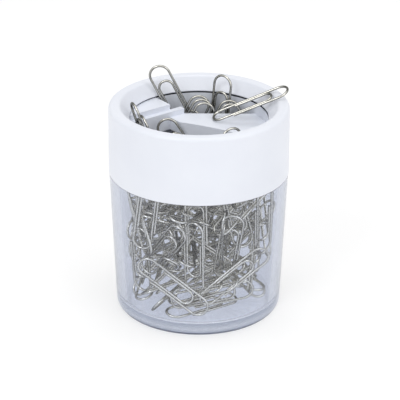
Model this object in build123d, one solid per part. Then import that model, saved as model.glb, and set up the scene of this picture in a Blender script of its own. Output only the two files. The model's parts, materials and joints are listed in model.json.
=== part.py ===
from build123d import *
import math
import os
import numpy as np

# Driving dimensions, in millimetres and degrees. The holder stands on Z = 0 with its axis on Z, and its
# front faces -Y.

# Cap
cap_diameter = 72.0
cap_height = 28.2
cap_wall = 1.8
rim_width = 4.4
funnel_run = 4.2
rim_outer_round = 1.8
rim_inner_round = 1.6
skirt_edge_round = 0.3
funnel_depth = 5.05
funnel_lip = 0.4
lip_overhang = 0.2

# Tub, with its wall measured at the foot, and the thin neck that goes up inside the cap
tub_height = 59.0
shoulder_step = 0.1
base_diameter = 66.1
heel_round = 4.4
tub_wall = 3.7
floor_thickness = 4.6
inner_heel_round = 3.0
neck_height = 15.0
neck_wall = 1.75
neck_fit = 0.25
neck_edge_round = 0.4

# Throat insert
insert_wall = 1.2
insert_height = 13.5
flange_thickness = 1.4
magnet_slit = 0.5
lead_in_drop = 0.9

# Ring magnet, a strip bent round the throat, and the collar that holds it
magnet_thickness = 1.5
magnet_width = 10.0
magnet_butt_gap = 0.8
magnet_fit = 0.1
collar_wall = 1.2
collar_fit = 0.1

# Stepped baffle across the throat. Its treads run at tread_angle to X. Insets are from the throat wall,
# and the ends along the treads and the plate's front right corner are from the axis.
tread_angle = 38.0
step_drop = 2.2
tread_depth = 2.4
stair_inset = 11.4
shelf_end = -0.5
strip_end = 4.9
plate_start = -2.3
plate_side = 6.4
plate_back_inset = 11.8
plate_width = 12.5
plate_front_right = 12.6
baffle_thickness = 1.3
baffle_height = 9.5

# Paper clip
clip_length = 33.0
clip_width = 9.0
wire_diameter = 0.95
leg_gap = 0.15
inner_loop_setback = 7.0
outer_leg_end = 9.0
inner_leg_end = 10.0

# Clips held at the throat by the magnet. Each is given by the top of its loop: bearing clockwise from the
# back, inset from the throat wall, height above the insert, lean to the right, lean to the back, and the
# turn of its face from the front. A clip that finds no room there goes to the nearest free place of a grid.
held_clips = {
    "leaning_clip": (-40.2, -0.3, 13.8, -26.5, 0.0, 0.0),
    "standing_clip": (23.0, 2.2, 9.4, 5.0, 3.0, -35.0),
    "front_clip": (-75.1, 12.1, -2.4, -32.0, 0.0, 0.0),
    "corner_clip": (150.5, 1.0, 5.5, 6.0, -4.0, 29.0),
    "left_outer_clip": (-97.4, 0.8, 7.9, -18.0, 3.0, 109.0),
    "left_inner_clip": (-102.7, 3.9, 3.3, -18.0, 3.0, 109.0),
    "back_clip_front": (12.9, 9.5, -0.7, 26.0, 0.0, 0.0),
    "back_clip_middle": (8.8, 8.5, 0.3, 26.0, 0.0, 0.0),
    "back_clip_rear": (5.1, 7.3, 1.3, 26.0, 0.0, 0.0),
    "right_clip_front": (40.6, 4.9, -1.0, 26.0, 0.0, 0.0),
    "right_clip_rear": (37.3, 4.2, 0.0, 26.0, 0.0, 0.0),
}
held_spacing = 0.15
held_search_reach = 3.0
held_search_step = 0.5

# Clip that lies from the plate up over the rim: its tail and a point of its line over the rim are measured
# in from the edge of the cap, back from the axis, and up from the plate or the rim. It is rolled about its
# length.
rim_clip_tail = (30.6, 8.8, 0.46)
rim_clip_over = (0.5, 8.5, 3.35)
rim_clip_roll = 6.7

# Loose clips in the tub: those at the front wall are given by bearing to the right of the front, the bearing
# their face looks to, height of the middle, angle of the length to the right-hand horizontal, and lean of
# the head away from the wall.
front_wall_clips = [
    (-24.0, -4.2, 17.9, -37.2, -12.3),
    (38.0, 22.0, 20.5, 36.0, 0.0),
    (-32.8, -32.0, 33.5, 52.3, -8.0),
    (-4.1, -30.5, 32.1, -93.5, 4.7),
    (33.2, -3.5, 34.0, 82.2, -12.3),
    (-2.6, 0.0, 43.7, 91.3, 4.0),
    (60.6, 40.9, 43.2, -79.5, 7.2),
    (-64.0, -34.2, 25.0, -96.8, 9.4),
    (-60.0, -60.0, 45.0, -60.0, 0.0),
    (-4.2, -6.1, 29.7, -33.2, -7.0),
    (-45.0, -25.0, 49.0, 82.0, 0.0),
    (42.0, 20.0, 48.0, -75.0, 0.0),
    (18.0, 10.0, 12.0, 8.0, 0.0),
    (75.0, 75.0, 26.0, 70.0, 0.0),
]
side_wall_clips = 14
side_wall_start = 105.0
side_wall_low = 0.35
side_wall_high = 0.75
heap_clips = 180
heap_tries = 40
heap_layers = 4
heap_tilt = 32.0
heap_roll = 38.0
clip_spacing = 0.25
heap_clearance = 1.2
room_step = 0.6
wire_points = 160
outline_points = 240

# Sizes that follow from the driving dimensions
cap_radius = cap_diameter / 2
rim_top = tub_height + cap_height
skirt_radius = cap_radius - cap_wall
neck_radius = skirt_radius - neck_fit
neck_top = tub_height + neck_height
shoulder_radius = cap_radius - shoulder_step
base_radius = base_diameter / 2
tub_inner_top = neck_radius - neck_wall
tub_inner_base = base_radius - tub_wall
funnel_mouth = cap_radius - rim_width
throat_radius = funnel_mouth - funnel_run
insert_radius = throat_radius + insert_wall
magnet_inner = insert_radius + magnet_fit
magnet_outer = magnet_inner + magnet_thickness
collar_inner = magnet_outer + collar_fit
collar_outer = collar_inner + collar_wall
flange_radius = collar_inner - collar_fit
funnel_foot = throat_radius + lip_overhang
funnel_foot_z = rim_top - funnel_depth
magnet_top = funnel_foot_z - funnel_lip
magnet_bottom = magnet_top - magnet_width
collar_bottom = magnet_bottom - flange_thickness
insert_top = magnet_top - magnet_slit
insert_bottom = insert_top - insert_height
stair_offset = throat_radius - stair_inset
plate_back = throat_radius - plate_back_inset
plate_front = plate_back - plate_width
plate_top = insert_top - 2 * step_drop
baffle_bottom = insert_top - baffle_height
heap_ceiling = insert_bottom - heap_clearance
wall_slope = (tub_inner_top - tub_inner_base) / (tub_height - floor_thickness)


def rounded_face(corners):
    """Face in the XZ plane from (radius, height, rounding) corners, each rounded by a tangent arc."""
    ends = []
    for index, (x, z, rounding) in enumerate(corners):
        corner = Vector(x, 0, z)
        before = (Vector(corners[index - 1][0], 0, corners[index - 1][1]) - corner).normalized()
        following = corners[(index + 1) % len(corners)]
        after = (Vector(following[0], 0, following[1]) - corner).normalized()
        half_angle = math.radians(before.get_angle(after)) / 2
        setback = rounding / math.tan(half_angle)
        middle = corner + (before + after).normalized() * (rounding / math.sin(half_angle) - rounding)
        ends.append((corner + before * setback, middle, corner + after * setback, rounding))
    edges = []
    for index, (start, middle, finish, rounding) in enumerate(ends):
        if rounding > 0:
            edges.append(ThreePointArc(start, middle, finish))
        edges.append(Line(finish, ends[(index + 1) % len(ends)][0]))
    return Face(Wire(edges))


def turned(corners, arc=360.0):
    """Solid of revolution about Z of a rounded outline."""
    return revolve(rounded_face(corners), Axis.Z, arc)


def make_tub():
    """Clear beaker: tapered wall, rounded heel, shoulder and the thin neck that goes into the cap."""
    return turned([
        (0, 0, 0),
        (base_radius, 0, heel_round),
        (shoulder_radius, tub_height, 0),
        (neck_radius, tub_height, 0),
        (neck_radius, neck_top, neck_edge_round),
        (tub_inner_top, neck_top, neck_edge_round),
        (tub_inner_top, tub_height, 0),
        (tub_inner_base, floor_thickness, inner_heel_round),
        (0, floor_thickness, 0),
    ])


def make_cap():
    """White cap: skirt, rounded rim, funnel, and the collar under the funnel that takes the magnet."""
    funnel_slope = funnel_depth / (funnel_mouth - funnel_foot)
    funnel_above_collar = funnel_foot_z + (collar_outer - funnel_foot) * funnel_slope
    collar_root = funnel_above_collar - cap_wall * math.hypot(1, funnel_slope)
    return turned([
        (skirt_radius, tub_height, skirt_edge_round),
        (cap_radius, tub_height, skirt_edge_round),
        (cap_radius, rim_top, rim_outer_round),
        (funnel_mouth, rim_top, rim_inner_round),
        (funnel_foot, funnel_foot_z, 0),
        (funnel_foot, magnet_top, 0),
        (collar_inner, magnet_top, 0),
        (collar_inner, collar_bottom, 0),
        (collar_outer, collar_bottom, 0),
        (collar_outer, collar_root, 0),
        (skirt_radius, rim_top - cap_wall, 0),
    ])


def make_magnet():
    """Flexible magnet strip bent into a ring, with its butt gap at the front."""
    gap_angle = math.degrees(magnet_butt_gap / magnet_inner)
    ring = turned([
        (magnet_inner, magnet_bottom, 0),
        (magnet_outer, magnet_bottom, 0),
        (magnet_outer, magnet_top, 0),
        (magnet_inner, magnet_top, 0),
    ], 360 - gap_angle)
    return Rot(0, 0, gap_angle / 2 - 90) * ring


def on_treads(along, across):
    """Point above the throat, given along and across the treads."""
    angle = math.radians(tread_angle)
    x = along * math.cos(angle) + across * math.sin(angle)
    y = along * math.sin(angle) - across * math.cos(angle)
    return (x, y)


def baffle_levels():
    """Shelf, strip and plate of the baffle as flat regions, each with the height of its top."""
    disc = Circle(throat_radius + insert_wall / 2)
    beyond = 2 * throat_radius
    shelf_edge = -stair_offset - tread_depth
    shelf = disc & make_face(Polyline(
        on_treads(-beyond, -beyond),
        on_treads(shelf_end, -beyond),
        on_treads(shelf_end, shelf_edge),
        on_treads(-beyond, shelf_edge),
        close=True,
    ))
    strip = disc & make_face(Polyline(
        on_treads(-beyond, shelf_edge),
        on_treads(strip_end, shelf_edge),
        on_treads(strip_end, -stair_offset),
        on_treads(-beyond, -stair_offset),
        close=True,
    ))
    left_back = on_treads(plate_start, -stair_offset)
    left_front = on_treads(plate_start, plate_side - stair_offset)
    stair_foot = on_treads(strip_end, -stair_offset)
    right_angle = math.asin(plate_front_right / throat_radius)
    right_front = (insert_radius * math.cos(right_angle), -insert_radius * math.sin(right_angle))
    plate = disc & make_face([
        Polyline(left_front, left_back, stair_foot, (stair_foot[0], plate_back), (beyond, plate_back),
                 (beyond, right_front[1]), right_front),
        ThreePointArc(right_front, (0, plate_front), left_front),
    ])
    return [(shelf, insert_top), (strip, insert_top - step_drop), (plate, plate_top)]


def make_insert(levels):
    """Throat tube with the flange that carries the magnet and the stepped baffle across the throat."""
    body = turned([
        (throat_radius, insert_top, 0),
        (insert_radius, insert_top - lead_in_drop, 0),
        (insert_radius, magnet_bottom, 0),
        (flange_radius, magnet_bottom, 0),
        (flange_radius, collar_bottom, 0),
        (insert_radius, collar_bottom, 0),
        (insert_radius, insert_bottom, 0),
        (throat_radius, insert_bottom, 0),
    ])
    for region, level in levels:
        body += Pos(0, 0, baffle_bottom) * extrude(region, level - baffle_bottom)
    for region, level in (levels[0], levels[2]):
        hollow = offset(region, -baffle_thickness)
        body -= Pos(0, 0, baffle_bottom) * extrude(hollow, level - baffle_thickness - baffle_bottom)
    return body


def clip_path():
    """Centreline of a paper clip lying in XY, long side on X, bent from one wire with three round turns."""
    wire_radius = wire_diameter / 2
    leg_pitch = wire_diameter + leg_gap
    tip = clip_length / 2 - wire_radius
    outer = clip_width / 2 - wire_radius
    inner = outer - leg_pitch
    tail_radius = (outer + inner) / 2
    tail_middle = (outer - inner) / 2
    head_turn = tip - outer
    tail_turn = tail_radius - tip
    inner_turn = tip - inner_loop_setback - inner
    return Wire([
        Line((outer_leg_end - clip_length / 2, -outer), (head_turn, -outer)),
        ThreePointArc((head_turn, -outer), (tip, 0), (head_turn, outer)),
        Line((head_turn, outer), (tail_turn, outer)),
        ThreePointArc((tail_turn, outer), (-tip, tail_middle), (tail_turn, -inner)),
        Line((tail_turn, -inner), (inner_turn, -inner)),
        ThreePointArc((inner_turn, -inner), (inner_turn + inner, 0), (inner_turn, inner)),
        Line((inner_turn, inner), (inner_leg_end - clip_length / 2, inner)),
    ])


def make_clip():
    """One paper clip, a round wire swept along the centreline."""
    path = clip_path()
    return sweep(Plane(path @ 0, z_dir=path % 0) * Circle(wire_diameter / 2), path)


def clip_place(middle, length_axis, facing):
    """Middle of a clip with three unit axes: along its length, across its width and out of its face."""
    along = length_axis / np.linalg.norm(length_axis)
    face = facing - along * (facing @ along)
    face = face / np.linalg.norm(face)
    return middle, np.stack([along, np.cross(face, along), face])


def held_place(bearing, inset, above, side_lean, back_lean, turn):
    """Place of a clip held at the throat, from the top of its loop."""
    angle = math.radians(bearing)
    radius = throat_radius - inset
    top = np.array([radius * math.sin(angle), radius * math.cos(angle), insert_top + above])
    upward = np.array([math.tan(math.radians(side_lean)), math.tan(math.radians(back_lean)), 1.0])
    upward = upward / np.linalg.norm(upward)
    facing = np.array([math.sin(math.radians(turn)), -math.cos(math.radians(turn)), 0.0])
    return clip_place(top - upward * clip_length / 2, upward, facing)


def rim_clip_place():
    """Place of the clip that lies on the plate and leans out over the rim."""
    tail = np.array([cap_radius - rim_clip_tail[0], rim_clip_tail[1], plate_top + rim_clip_tail[2]])
    over = np.array([cap_radius - rim_clip_over[0], rim_clip_over[1], rim_top + rim_clip_over[2]])
    along = (over - tail) / np.linalg.norm(over - tail)
    roll = math.radians(rim_clip_roll)
    facing = np.array([0.0, -math.sin(roll), math.cos(roll)])
    return clip_place(tail + along * clip_length / 2, along, facing)


def outline_gap(points, outline):
    """Distance in plan of points from a closed outline, negative inside it."""
    ahead = np.roll(outline, -1, axis=0)
    side = ahead - outline
    away = points[:, None] - outline
    share = np.clip((away * side).sum(-1) / (side ** 2).sum(-1), 0, 1)
    distance = np.linalg.norm(away - share[..., None] * side, axis=-1).min(axis=1)
    passed = (outline[:, 1] > points[:, None, 1]) != (ahead[:, 1] > points[:, None, 1])
    crossing = outline[:, 0] + side[:, 0] * away[..., 1] / np.where(passed, side[:, 1], 1)
    inside = (passed & (points[:, None, 0] < crossing)).sum(axis=1) % 2 == 1
    return np.where(inside, -distance, distance)


def throat_gap(body, outlines):
    """Least gap from the points of a wire to the throat wall, the funnel, the rim and the baffle."""
    radius = np.hypot(body[:, 0], body[:, 1])
    height = body[:, 2]
    flare = (funnel_mouth - funnel_foot) / funnel_depth
    wall = throat_radius + np.maximum(height - funnel_foot_z, 0) * flare
    beside = (wall - radius) / math.hypot(1, flare)
    gap = np.maximum(beside, np.maximum(height - rim_top, insert_bottom - height))
    for outline, level in outlines:
        past = np.maximum(height - level, baffle_bottom - height)
        gap = np.minimum(gap, np.maximum(outline_gap(body[:, :2], outline), past))
    return gap.min() - wire_diameter / 2


def settle(wish, wire, taken, outlines):
    """Nearest place to the wished one that is clear of the throat, the baffle and the clips already there."""
    middle, axes = wish
    sideways = np.arange(-held_search_reach, held_search_reach + held_search_step / 2, held_search_step)
    upward = sideways[sideways > -held_search_step / 2]
    moves = np.stack(np.meshgrid(sideways, sideways, upward, indexing="ij"), -1).reshape(-1, 3)
    for move in moves[np.argsort(np.linalg.norm(moves, axis=1))]:
        body = wire @ axes + middle + move
        if throat_gap(body, outlines) < held_spacing:
            continue
        gaps = [np.linalg.norm(body[:, None] - other, axis=-1).min() - wire_diameter for other in taken]
        if min(gaps, default=held_spacing) >= held_spacing:
            return middle + move, axes
    return wish


def place_held_clips(wire, levels):
    """Places of the clips held at the throat, each set in clear of those before it."""
    outlines = []
    for region, level in levels:
        edge = region.face().outer_wire()
        shares = np.arange(outline_points) / outline_points
        outlines.append((np.array([tuple(edge @ share)[:2] for share in shares]), level))
    wishes = {name: held_place(*row) for name, row in held_clips.items()}
    wishes["rim_clip"] = rim_clip_place()
    places = {}
    for name, wish in wishes.items():
        taken = [wire @ axes + middle for middle, axes in places.values()]
        places[name] = settle(wish, wire, taken, outlines)
    return places


class FreeRoom:
    """Grid over the inside of the tub: at each point, how far a wire centred there is from touching anything."""

    def __init__(self, step):
        margin = 2 * step
        reach = tub_inner_top + margin
        self.step = step
        self.low = np.array([-reach, -reach, floor_thickness - margin])
        span = np.array([reach, reach, heap_ceiling + margin]) - self.low
        self.count = np.ceil(span / step).astype(int) + 1
        axes = [self.low[k] + step * np.arange(self.count[k]) for k in range(3)]
        self.points = np.stack(np.meshgrid(*axes, indexing="ij"), -1)
        radius = np.hypot(self.points[..., 0], self.points[..., 1])
        height = self.points[..., 2]
        wall = tub_inner_base + wall_slope * np.clip(height - floor_thickness, 0, tub_height - floor_thickness)
        gap = np.minimum((wall - radius) / math.hypot(1, wall_slope), height - floor_thickness)
        gap = np.minimum(gap, heap_ceiling - height)
        heel_out = radius - tub_inner_base + inner_heel_round
        heel_down = floor_thickness + inner_heel_round - height
        in_heel = (heel_out > 0) & (heel_down > 0)
        heel_gap = inner_heel_round - np.hypot(heel_out, heel_down)
        self.gap = np.where(in_heel, np.minimum(gap, heel_gap), gap) - wire_diameter / 2
        cells = math.ceil(2.5 * wire_diameter / step)
        near = np.arange(-cells, cells + 1)
        self.near = np.stack(np.meshgrid(near, near, near, indexing="ij"), -1).reshape(-1, 3)

    def keep_clear_above(self, place):
        """Keep the flat of a held clip, and all the room above it, free of other clips."""
        middle, axes = place
        local = np.abs((self.points - middle) @ axes.T)
        over_length = np.maximum(local[..., 0] - clip_length / 2 + wire_diameter / 2, 0)
        over_width = np.maximum(local[..., 1] - clip_width / 2 + wire_diameter / 2, 0)
        gap = np.sqrt(over_length ** 2 + over_width ** 2 + local[..., 2] ** 2) - wire_diameter
        self.gap = np.minimum(self.gap, np.minimum.accumulate(gap, axis=2))

    def fill(self, wire):
        """Take up the room of a clip, given by points on its wire."""
        index = np.round((wire - self.low) / self.step).astype(int)[:, None, :] + self.near
        index = index[((index >= 0) & (index < self.count)).all(-1)].reshape(-1, 3)
        index = np.unique(index, axis=0)
        spots = self.low + index * self.step
        nearest = np.full(len(spots), np.inf)
        for point in wire:
            nearest = np.minimum(nearest, np.linalg.norm(spots - point, axis=1))
        where = tuple(index.T)
        self.gap[where] = np.minimum(self.gap[where], nearest - wire_diameter)

    def least_gap(self, wire):
        """Least gap over the points of a wire, read between the grid points; the last two axes are the points."""
        scaled = (wire - self.low) / self.step
        inside = ((scaled >= 0) & (scaled <= self.count - 1)).all(axis=(-1, -2))
        corner = np.clip(scaled.astype(int), 0, self.count - 2)
        x, y, z = np.moveaxis(scaled - corner, -1, 0)
        stride_y = self.count[2]
        stride_x = self.count[1] * stride_y
        start = corner[..., 0] * stride_x + corner[..., 1] * stride_y + corner[..., 2]
        table = self.gap.reshape(-1)
        edges = []
        for offset in (0, stride_y, stride_x, stride_x + stride_y):
            edges.append(table[start + offset] * (1 - z) + table[start + offset + 1] * z)
        gap = (edges[0] * (1 - y) + edges[1] * y) * (1 - x) + (edges[2] * (1 - y) + edges[3] * y) * x
        return np.where(inside, gap.min(axis=-1), -np.inf)


def wall_place(room, wire, bearing, facing, height, angle, lean):
    """Place of a loose clip against the wall, as far out as the room allows, or nothing if there is none."""
    turn = math.radians(bearing)
    look = math.radians(facing)
    rise = math.radians(angle)
    outward = np.array([math.sin(turn), -math.cos(turn), 0.0])
    front = np.array([math.sin(look), -math.cos(look), 0.0])
    right = np.array([math.cos(look), math.sin(look), 0.0])
    up = np.array([0.0, 0.0, 1.0])
    tip = math.atan(wall_slope) - math.radians(lean) * math.copysign(1, rise)
    along = right * math.cos(rise) + (up + front * math.tan(tip)) * math.sin(rise)
    for distance in np.arange(tub_inner_top, tub_inner_top / 3, -clip_spacing / 2):
        place = clip_place(outward * distance + up * height, along, front - up * wall_slope)
        if room.least_gap(wire @ place[1] + place[0]) >= clip_spacing:
            return place
    return None


def heap_place(room, wire, chance):
    """Lowest free place, out of many tried, for a loose clip of random tilt, or nothing if there is none."""
    level = room.step * 1.5
    tilt = math.radians(np.clip(chance.normal(0, heap_tilt), -80, 80))
    roll = math.radians(chance.normal(0, heap_roll))
    levels = np.arange(floor_thickness, heap_ceiling, level)
    best = None
    for _ in range(heap_tries):
        heading = chance.uniform(0, 2 * math.pi)
        bearing = chance.uniform(0, 2 * math.pi)
        radius = (tub_inner_base - clip_width / 2) * math.sqrt(chance.uniform())
        ahead = np.array([math.cos(heading), math.sin(heading), 0.0])
        aside = np.array([-math.sin(heading), math.cos(heading), 0.0])
        up = np.array([0.0, 0.0, 1.0])
        along = ahead * math.cos(tilt) + up * math.sin(tilt)
        facing = (up * math.cos(tilt) - ahead * math.sin(tilt)) * math.cos(roll) + aside * math.sin(roll)
        flat = np.array([radius * math.cos(bearing), radius * math.sin(bearing), 0.0])
        place = clip_place(flat, along, facing)
        body = wire @ place[1] + flat
        below = levels if best is None else levels[levels < best[0][2]]
        gaps = room.least_gap(body[None, ::3] + np.outer(below, up)[:, None])
        free = [z for z, gap in zip(below, gaps) if gap >= clip_spacing]
        for z in free[:4]:
            if room.least_gap(body + up * z) < clip_spacing:
                continue
            while room.least_gap(body + up * (z - room.step / 4)) >= clip_spacing:
                z = z - room.step / 4
            best = (flat + up * z, place[1])
            break
    return best


def place_loose_clips(wire, held):
    """Places of the loose clips in the tub: front wall, side and back wall, then the heap from the bottom up."""
    chance = np.random.default_rng(7)
    room = FreeRoom(room_step)
    for place in held:
        room.keep_clear_above(place)
    front = []
    for row in front_wall_clips:
        front.append(wall_place(room, wire, *row))
        if front[-1] is not None:
            room.fill(wire @ front[-1][1] + front[-1][0])
    side = []
    for index in range(side_wall_clips):
        bearing = side_wall_start + (360 - 2 * side_wall_start) * index / (side_wall_clips - 1)
        height = chance.uniform(side_wall_low, side_wall_high) * tub_height
        angle = chance.choice([-90, -50, 50, 90]) + chance.uniform(-15, 15)
        side.append(wall_place(room, wire, bearing, bearing, height, angle, 0.0))
        if side[-1] is not None:
            room.fill(wire @ side[-1][1] + side[-1][0])
    heap = []
    for _ in range(heap_clips):
        heap.append(heap_place(room, wire, chance))
        if heap[-1] is not None:
            room.fill(wire @ heap[-1][1] + heap[-1][0])
    groups = [[place for place in group if place is not None] for group in (front, side, heap)]
    groups[2].sort(key=lambda place: place[0][2])
    return groups


def clip_at(clip, place):
    """Copy of the clip at a place."""
    middle, axes = place
    return clip.moved(Plane(origin=tuple(middle), x_dir=tuple(axes[0]), z_dir=tuple(axes[2])).location)


os.makedirs("parts", exist_ok=True)
baffle = baffle_levels()
export_step(make_tub(), "parts/clear_tub.step")
export_step(make_cap(), "parts/cap.step")
export_step(make_magnet(), "parts/ring_magnet.step")
export_step(make_insert(baffle), "parts/throat_insert.step")

clip = make_clip()
path = clip_path()
clip_wire = np.array([tuple(path @ share) for share in np.linspace(0, 1, wire_points)])
held_places = place_held_clips(clip_wire, baffle)
for name, place in held_places.items():
    export_step(clip_at(clip, place), f"parts/{name}.step")

front_places, side_places, heap_places = place_loose_clips(clip_wire, held_places.values())
layers = {"front_wall_clips": front_places, "side_wall_clips": side_places}
clips_in_layer = math.ceil(len(heap_places) / heap_layers)
for start in range(0, len(heap_places), clips_in_layer):
    layers[f"heap_layer_{start // clips_in_layer + 1}"] = heap_places[start:start + clips_in_layer]
for name, places in layers.items():
    export_step(Compound([clip_at(clip, place) for place in places]), f"parts/{name}.step")
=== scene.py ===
import json
import math

import bmesh
import bpy
from mathutils import Matrix, Vector

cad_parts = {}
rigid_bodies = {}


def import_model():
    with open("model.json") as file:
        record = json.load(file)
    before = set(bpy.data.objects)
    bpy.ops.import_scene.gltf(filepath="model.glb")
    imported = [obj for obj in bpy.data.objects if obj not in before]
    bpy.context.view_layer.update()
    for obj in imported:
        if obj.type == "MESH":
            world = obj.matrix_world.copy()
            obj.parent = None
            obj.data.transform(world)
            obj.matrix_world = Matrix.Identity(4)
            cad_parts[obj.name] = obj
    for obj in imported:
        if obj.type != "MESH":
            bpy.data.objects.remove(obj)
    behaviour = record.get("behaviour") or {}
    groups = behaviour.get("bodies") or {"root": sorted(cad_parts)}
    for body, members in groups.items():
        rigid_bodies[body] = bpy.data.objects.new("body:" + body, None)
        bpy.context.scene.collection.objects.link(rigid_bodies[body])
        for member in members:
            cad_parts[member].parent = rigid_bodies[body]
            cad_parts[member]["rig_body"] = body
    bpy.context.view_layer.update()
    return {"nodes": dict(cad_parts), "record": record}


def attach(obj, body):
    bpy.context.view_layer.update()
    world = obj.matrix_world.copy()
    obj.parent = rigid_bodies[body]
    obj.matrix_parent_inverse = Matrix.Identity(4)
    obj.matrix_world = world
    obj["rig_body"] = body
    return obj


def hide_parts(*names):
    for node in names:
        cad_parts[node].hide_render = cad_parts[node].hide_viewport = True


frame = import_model()
MM = 0.001

# Holder sizes in millimetres, as in the solids
TUB_HEIGHT = 59.0
BASE_RADIUS = 33.05
SHOULDER_RADIUS = 35.9
TUB_WALL = 3.7
FLOOR_THICKNESS = 4.6
HEEL_ROUND = 4.4
INNER_HEEL_ROUND = 3.0
NECK_RADIUS = 33.95
NECK_TOP = 74.0
CAP_RADIUS = 36.0
SKIRT_RADIUS = 34.2
RIM_TOP = 87.2
FUNNEL_MOUTH = 31.6
FUNNEL_FOOT = 27.6
FUNNEL_FOOT_Z = 82.15
MAGNET_TOP = 81.75
COLLAR_INNER = 30.3
COLLAR_OUTER = 31.5
COLLAR_BOTTOM = 70.35
COLLAR_ROOT = 84.17
CAP_ROOF = 85.4

# Roundings of the edges in millimetres
SHOULDER_EDGE = 0.15
NECK_EDGE = 0.4
SKIRT_EDGE = 0.3
RIM_OUTER_ROUND = 1.8
RIM_INNER_ROUND = 1.6
FUNNEL_FOOT_EDGE = 0.12
COLLAR_EDGE = 0.2
COLLAR_ROOT_ROUND = 0.4

# Fineness of the meshes
TURN_STEPS = 192
SEGMENTS_PER_MM = 5
MERGE_DISTANCE = 1e-7
PLASTIC_SHARP_ANGLE = 30
WIRE_SHARP_ANGLE = 45

# Colours as a low and a high that a noise goes between
CAP_WHITE = ((0.79, 0.815, 0.885), (0.82, 0.845, 0.91))
INSERT_WHITE = ((0.78, 0.81, 0.89), (0.82, 0.85, 0.92))
# The clear plastic's colour is partly its own and partly painted shade that darkens what shows through the tub
CLEAR_TINT_AND_PAINTED_SHADE = ((0.84, 0.855, 0.905), (0.87, 0.885, 0.925))
MAGNET_DARK = ((0.004, 0.005, 0.012), (0.010, 0.012, 0.026))
# One nickel in two copies: painted shade makes the clips held in the open darker, painted light makes the
# clips in the tub brighter
OPEN_NICKEL_PAINTED_DARKER = ((0.48, 0.47, 0.43), (0.62, 0.61, 0.57))
TUB_NICKEL_PAINTED_BRIGHTER = ((0.84, 0.81, 0.71), (0.98, 0.955, 0.85))
NOISE_LOW = 0.3
NOISE_HIGH = 0.7

# Other values of the finishes
PLASTIC_IOR = 1.49
# Absorption of the clear plastic: partly its own blue-grey colour, partly painted shade on what shows through
# the tub
DEPTH_TINT_AND_PAINTED_SHADE = (0.52, 0.57, 0.68)
DEPTH_DENSITY = 80
MAGNET_SPECULAR = 0.2
# Painted reflection: the dark colour painted on the wires' sides, and the span of facing over which it takes
# over
OPEN_WIRE_PAINTED_DARK_SIDE = (0.09, 0.09, 0.075)
OPEN_WIRE_PAINTED_SIDE_SPAN = (0.06, 0.48)
TUB_WIRE_PAINTED_DARK_SIDE = (0.19, 0.18, 0.15)
TUB_WIRE_PAINTED_SIDE_SPAN = (0.13, 0.60)

# Studio in metres and watts
FLOOR_HALF_WIDTH = 4
FLOOR_GREY = 0.64
FLOOR_GLOW = 0.44
FLOOR_ROUGHNESS = 0.9
SURROUND_LIGHT = 0.61
SURROUND_SEEN = 1.0
LAMP_AIM = (0, 0, 0.05)
LAMPS = [
    ("key", (-0.50, -0.65, 0.75), 0.45, 2.5),
    ("fill", (0.70, -0.55, 0.60), 0.6, 1.9),
    ("top", (0.05, 0.10, 1.00), 0.6, 2.0),
]

# Camera in metres, degrees and, for the focal length, pixels of the picture
CAMERA_TARGET = (0.00054, 0, 0.04558)
CAMERA_DISTANCE = 1.0
CAMERA_ELEVATION = 24.06
CAMERA_ROLL = 0.297
CAMERA_CLIP_END = 20
SENSOR_WIDTH = 36
FOCAL_PIXELS = 2484.7
PICTURE_WIDTH = 400


def node_of(material, kind):
    """New shader node."""
    return material.node_tree.nodes.new(kind)


def new_material(name):
    """Empty node material with its one surface shader."""
    material = bpy.data.materials.new(name)
    material.use_nodes = True
    shader = material.node_tree.nodes["Principled BSDF"]
    return material, shader


def noise_on(material, scale, detail):
    """Noise in the object's own coordinates, in features per metre."""
    coordinates = node_of(material, "ShaderNodeTexCoord")
    noise = node_of(material, "ShaderNodeTexNoise")
    noise.inputs["Scale"].default_value = scale
    noise.inputs["Detail"].default_value = detail
    material.node_tree.links.new(coordinates.outputs["Object"], noise.inputs["Vector"])
    return noise.outputs["Fac"]


def ramp_between(material, factor, low, high):
    """Colour that goes from low to high over the middle of a noise."""
    ramp = node_of(material, "ShaderNodeValToRGB")
    ramp.color_ramp.elements[0].position = NOISE_LOW
    ramp.color_ramp.elements[0].color = (*low, 1)
    ramp.color_ramp.elements[1].position = NOISE_HIGH
    ramp.color_ramp.elements[1].color = (*high, 1)
    material.node_tree.links.new(factor, ramp.inputs["Fac"])
    return ramp.outputs["Color"]


def range_between(material, factor, low, high):
    """Number that goes from low to high over the middle of a noise."""
    spread = node_of(material, "ShaderNodeMapRange")
    spread.inputs["From Min"].default_value = NOISE_LOW
    spread.inputs["From Max"].default_value = NOISE_HIGH
    spread.inputs["To Min"].default_value = low
    spread.inputs["To Max"].default_value = high
    material.node_tree.links.new(factor, spread.inputs["Value"])
    return spread.outputs["Result"]


def roughen(material, shader, scale, low, high):
    """Roughness that varies a little over the surface."""
    roughness = range_between(material, noise_on(material, scale, 3), low, high)
    material.node_tree.links.new(roughness, shader.inputs["Roughness"])


def bump_from(material, shader, height, distance, strength):
    """Small surface relief from a height."""
    bump = node_of(material, "ShaderNodeBump")
    bump.inputs["Distance"].default_value = distance
    bump.inputs["Strength"].default_value = strength
    material.node_tree.links.new(height, bump.inputs["Height"])
    material.node_tree.links.new(bump.outputs["Normal"], shader.inputs["Normal"])


def white_plastic(name, low, high):
    """Bluish-white moulded plastic with a satin skin."""
    material, shader = new_material(name)
    colour = ramp_between(material, noise_on(material, 60, 3), low, high)
    material.node_tree.links.new(colour, shader.inputs["Base Color"])
    roughen(material, shader, 240, 0.30, 0.42)
    bump_from(material, shader, noise_on(material, 2200, 2), 0.02 * MM, 0.25)
    shader.inputs["IOR"].default_value = PLASTIC_IOR
    return material


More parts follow.
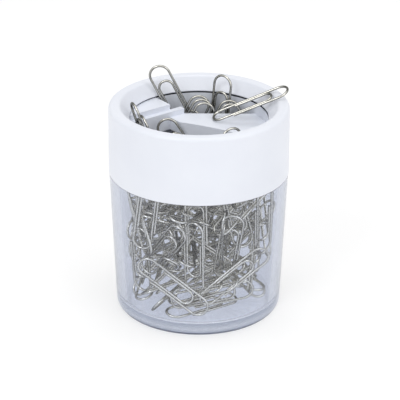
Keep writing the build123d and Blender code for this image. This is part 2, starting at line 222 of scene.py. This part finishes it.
def clear_plastic():
    """Clear moulded plastic with a faint blue-grey colour that deepens with its thickness: partly its own
    colour, partly painted shade on what shows through, as the tub casts no shadow.
    """
    material, shader = new_material("clear_moulded_plastic")
    links = material.node_tree.links
    tint_and_painted_shade = ramp_between(material, noise_on(material, 25, 2), *CLEAR_TINT_AND_PAINTED_SHADE)
    links.new(tint_and_painted_shade, shader.inputs["Base Color"])
    # Absorption in the wall: partly the plastic's own colour, partly painted shade on what shows through
    depth = node_of(material, "ShaderNodeVolumeAbsorption")
    depth.inputs["Color"].default_value = (*DEPTH_TINT_AND_PAINTED_SHADE, 1)
    depth.inputs["Density"].default_value = DEPTH_DENSITY
    links.new(depth.outputs["Volume"], material.node_tree.nodes["Material Output"].inputs["Volume"])
    roughen(material, shader, 180, 0.015, 0.045)
    shader.inputs["Transmission Weight"].default_value = 1
    shader.inputs["IOR"].default_value = PLASTIC_IOR
    return material


def nickel_wire(name, low, high, painted_side_colour, painted_side_start, painted_side_stop):
    """Nickel-plated drawn steel wire, whose colour is painted darker towards its sides as seen: a painted
    reflection of dark surroundings.
    """
    material, shader = new_material(name)
    links = material.node_tree.links
    colour = ramp_between(material, noise_on(material, 300, 4), low, high)
    # Painted reflection: the colour darkens towards the wire's sides as seen, standing for dark surroundings
    # reflected there
    facing = node_of(material, "ShaderNodeLayerWeight")
    painted_side_amount = node_of(material, "ShaderNodeMapRange")
    painted_side_amount.interpolation_type = "SMOOTHSTEP"
    painted_side_amount.inputs["From Min"].default_value = painted_side_start
    painted_side_amount.inputs["From Max"].default_value = painted_side_stop
    colour_with_painted_sides = node_of(material, "ShaderNodeMixRGB")
    colour_with_painted_sides.inputs["Color2"].default_value = (*painted_side_colour, 1)
    links.new(facing.outputs["Facing"], painted_side_amount.inputs["Value"])
    links.new(painted_side_amount.outputs["Result"], colour_with_painted_sides.inputs["Fac"])
    links.new(colour, colour_with_painted_sides.inputs["Color1"])
    links.new(colour_with_painted_sides.outputs["Color"], shader.inputs["Base Color"])
    roughen(material, shader, 900, 0.16, 0.30)
    bump_from(material, shader, noise_on(material, 3500, 2), 0.01 * MM, 0.3)
    shader.inputs["Metallic"].default_value = 1
    return material


def magnet_strip():
    """Dark flexible magnet, matt and slightly grainy."""
    material, shader = new_material("dark_magnet_strip")
    colour = ramp_between(material, noise_on(material, 700, 4), *MAGNET_DARK)
    material.node_tree.links.new(colour, shader.inputs["Base Color"])
    roughen(material, shader, 1200, 0.5, 0.7)
    bump_from(material, shader, noise_on(material, 2500, 3), 0.03 * MM, 0.4)
    shader.inputs["Specular IOR Level"].default_value = MAGNET_SPECULAR
    return material


def shade(mesh_data, sharp_degrees):
    """Smooth faces, with the edges sharper than the angle kept sharp."""
    for edge in mesh_data.edges:
        if len(edge.link_faces) == 2:
            edge.smooth = edge.calc_face_angle() < math.radians(sharp_degrees)
    for face in mesh_data.faces:
        face.smooth = True


def add_piece(name, mesh_data, material, node_name):
    """Object made from a bmesh, standing for a node of the frame and moving with that node's body."""
    mesh = bpy.data.meshes.new(name)
    mesh_data.to_mesh(mesh)
    mesh_data.free()
    mesh.materials.append(material)
    piece = bpy.data.objects.new(name, mesh)
    bpy.context.scene.collection.objects.link(piece)
    normals = piece.modifiers.new("large_faces_lead", "WEIGHTED_NORMAL")
    normals.keep_sharp = True
    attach(piece, frame["nodes"][node_name]["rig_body"])
    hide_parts(node_name)
    return piece


def turned_shape(corners, closed):
    """Shape turned about Z from (radius, height, rounding) corners in millimetres, rounded before the turn."""
    shape = bmesh.new()
    points = [shape.verts.new((x * MM, 0, z * MM)) for x, z, rounding in corners]
    for first, second in zip(points, points[1:]):
        shape.edges.new((first, second))
    if closed:
        shape.edges.new((points[-1], points[0]))
    for point, (x, z, rounding) in zip(points, corners):
        if rounding:
            sides = [edge.other_vert(point).co - point.co for edge in point.link_edges]
            setback = rounding * MM / math.tan(sides[0].angle(sides[1]) / 2)
            segments = max(2, round(rounding * SEGMENTS_PER_MM))
            bmesh.ops.bevel(shape, geom=[point], offset=setback, offset_type="OFFSET", segments=segments,
                            profile=0.5, affect="VERTICES", material=-1)
    bmesh.ops.spin(shape, geom=shape.verts[:] + shape.edges[:], cent=(0, 0, 0), axis=(0, 0, 1),
                   dvec=(0, 0, 0), angle=2 * math.pi, steps=TURN_STEPS, use_merge=True)
    bmesh.ops.remove_doubles(shape, verts=shape.verts, dist=MERGE_DISTANCE)
    bmesh.ops.recalc_face_normals(shape, faces=shape.faces)
    shade(shape, PLASTIC_SHARP_ANGLE)
    return shape


def make_tub(material):
    """Clear tub with its tapered wall, rounded heel, thick floor and the neck inside the cap."""
    inner_top = SHOULDER_RADIUS - TUB_WALL
    inner_base = BASE_RADIUS - TUB_WALL
    shape = turned_shape([
        (0, 0, 0),
        (BASE_RADIUS, 0, HEEL_ROUND),
        (SHOULDER_RADIUS, TUB_HEIGHT, SHOULDER_EDGE),
        (NECK_RADIUS, TUB_HEIGHT, SHOULDER_EDGE),
        (NECK_RADIUS, NECK_TOP, NECK_EDGE),
        (inner_top, NECK_TOP, NECK_EDGE),
        (inner_top, TUB_HEIGHT, 0),
        (inner_base, FLOOR_THICKNESS, INNER_HEEL_ROUND),
        (0, FLOOR_THICKNESS, 0),
    ], closed=False)
    tub = add_piece("tub_clear_wall", shape, material, "clear_tub")
    tub.visible_shadow = False


def make_cap(material):
    """White cap with its skirt, rounded rim, funnel and the collar under it."""
    shape = turned_shape([
        (SKIRT_RADIUS, TUB_HEIGHT, SKIRT_EDGE),
        (CAP_RADIUS, TUB_HEIGHT, SKIRT_EDGE),
        (CAP_RADIUS, RIM_TOP, RIM_OUTER_ROUND),
        (FUNNEL_MOUTH, RIM_TOP, RIM_INNER_ROUND),
        (FUNNEL_FOOT, FUNNEL_FOOT_Z, FUNNEL_FOOT_EDGE),
        (FUNNEL_FOOT, MAGNET_TOP, FUNNEL_FOOT_EDGE),
        (COLLAR_INNER, MAGNET_TOP, 0),
        (COLLAR_INNER, COLLAR_BOTTOM, COLLAR_EDGE),
        (COLLAR_OUTER, COLLAR_BOTTOM, COLLAR_EDGE),
        (COLLAR_OUTER, COLLAR_ROOT, COLLAR_ROOT_ROUND),
        (SKIRT_RADIUS, CAP_ROOF, COLLAR_ROOT_ROUND),
    ], closed=True)
    add_piece("cap_shell", shape, material, "cap")


def smooth_copy(name, node_name, material, sharp_degrees):
    """Joined and smoothly shaded copy of a node's mesh, standing for that node."""
    shape = bmesh.new()
    shape.from_mesh(frame["nodes"][node_name].data)
    bmesh.ops.remove_doubles(shape, verts=shape.verts, dist=MERGE_DISTANCE)
    shade(shape, sharp_degrees)
    add_piece(name, shape, material, node_name)


def make_floor():
    """Plain white floor that keeps the shadow."""
    shape = bmesh.new()
    bmesh.ops.create_grid(shape, x_segments=1, y_segments=1, size=FLOOR_HALF_WIDTH)
    mesh = bpy.data.meshes.new("floor")
    shape.to_mesh(mesh)
    shape.free()
    floor = bpy.data.objects.new("floor", mesh)
    bpy.context.scene.collection.objects.link(floor)
    material, shader = new_material("white_floor")
    shader.inputs["Base Color"].default_value = (FLOOR_GREY, FLOOR_GREY, FLOOR_GREY, 1)
    shader.inputs["Roughness"].default_value = FLOOR_ROUGHNESS
    shader.inputs["Specular IOR Level"].default_value = 0
    shader.inputs["Emission Color"].default_value = (1, 1, 1, 1)
    shader.inputs["Emission Strength"].default_value = FLOOR_GLOW
    mesh.materials.append(material)


def make_world():
    """Even studio surround: white where it is seen, softer where it lights."""
    world = bpy.data.worlds.new("studio")
    bpy.context.scene.world = world
    world.use_nodes = True
    nodes = world.node_tree.nodes
    links = world.node_tree.links
    background = nodes["Background"]
    background.inputs["Color"].default_value = (1, 1, 1, 1)
    path = nodes.new("ShaderNodeLightPath")
    seen_or_glossy = nodes.new("ShaderNodeMath")
    seen_or_glossy.operation = "ADD"
    or_through = nodes.new("ShaderNodeMath")
    or_through.operation = "ADD"
    level = nodes.new("ShaderNodeMapRange")
    level.inputs["To Min"].default_value = SURROUND_LIGHT
    level.inputs["To Max"].default_value = SURROUND_SEEN
    links.new(path.outputs["Is Camera Ray"], seen_or_glossy.inputs[0])
    links.new(path.outputs["Is Glossy Ray"], seen_or_glossy.inputs[1])
    links.new(seen_or_glossy.outputs[0], or_through.inputs[0])
    links.new(path.outputs["Is Transmission Ray"], or_through.inputs[1])
    links.new(or_through.outputs[0], level.inputs["Value"])
    links.new(level.outputs["Result"], background.inputs["Strength"])


def add_lamp(name, place, size, watts):
    """Soft square lamp aimed at the middle of the holder."""
    lamp = bpy.data.lights.new(name, "AREA")
    lamp.size = size
    lamp.energy = watts
    holder = bpy.data.objects.new(name, lamp)
    holder.location = place
    holder.rotation_euler = (Vector(LAMP_AIM) - Vector(place)).to_track_quat("-Z", "Y").to_euler()
    bpy.context.scene.collection.objects.link(holder)


def make_camera():
    """Camera at the photograph's angle, for a square picture."""
    elevation = math.radians(CAMERA_ELEVATION)
    target = Vector(CAMERA_TARGET)
    place = target + CAMERA_DISTANCE * Vector((0, -math.cos(elevation), math.sin(elevation)))
    camera = bpy.data.cameras.new("camera")
    camera.sensor_width = SENSOR_WIDTH
    camera.lens = SENSOR_WIDTH * FOCAL_PIXELS / PICTURE_WIDTH
    camera.clip_end = CAMERA_CLIP_END
    holder = bpy.data.objects.new("camera", camera)
    aim = (target - place).to_track_quat("-Z", "Y").to_matrix().to_4x4()
    roll = Matrix.Rotation(math.radians(CAMERA_ROLL), 4, "Z")
    holder.matrix_world = Matrix.Translation(place) @ aim @ roll
    bpy.context.scene.collection.objects.link(holder)
    bpy.context.scene.camera = holder


SLOTS = {part["node"]: part["material_slot"] for part in frame["record"]["subparts"]}

cap_white = white_plastic("white_cap_plastic", *CAP_WHITE)
insert_white = white_plastic("white_insert_plastic", *INSERT_WHITE)
# The same clips' wire in two copies: a darker one with painted shade for the held clips, a brighter one with
# painted light for the clips in the tub
held_wire_painted_darker = nickel_wire("nickel_wire_painted_darker_in_the_open", *OPEN_NICKEL_PAINTED_DARKER, OPEN_WIRE_PAINTED_DARK_SIDE, *OPEN_WIRE_PAINTED_SIDE_SPAN)
loose_wire_painted_brighter = nickel_wire("nickel_wire_painted_brighter_in_the_tub", *TUB_NICKEL_PAINTED_BRIGHTER, TUB_WIRE_PAINTED_DARK_SIDE, *TUB_WIRE_PAINTED_SIDE_SPAN)
make_tub(clear_plastic())
make_cap(cap_white)
smooth_copy("throat_and_baffle", "throat_insert", insert_white, PLASTIC_SHARP_ANGLE)
smooth_copy("magnet_ring", "ring_magnet", magnet_strip(), PLASTIC_SHARP_ANGLE)
for node_name in sorted(SLOTS):
    if SLOTS[node_name] == "clip_wire":
        loose = frame["nodes"][node_name]["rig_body"] == "tub"
        smooth_copy(node_name + "_wire", node_name, loose_wire_painted_brighter if loose else held_wire_painted_darker, WIRE_SHARP_ANGLE)

make_floor()
make_world()
for lamp_name, lamp_place, lamp_size, lamp_watts in LAMPS:
    add_lamp(lamp_name, lamp_place, lamp_size, lamp_watts)
make_camera()
bpy.context.scene.view_settings.view_transform = "Standard"
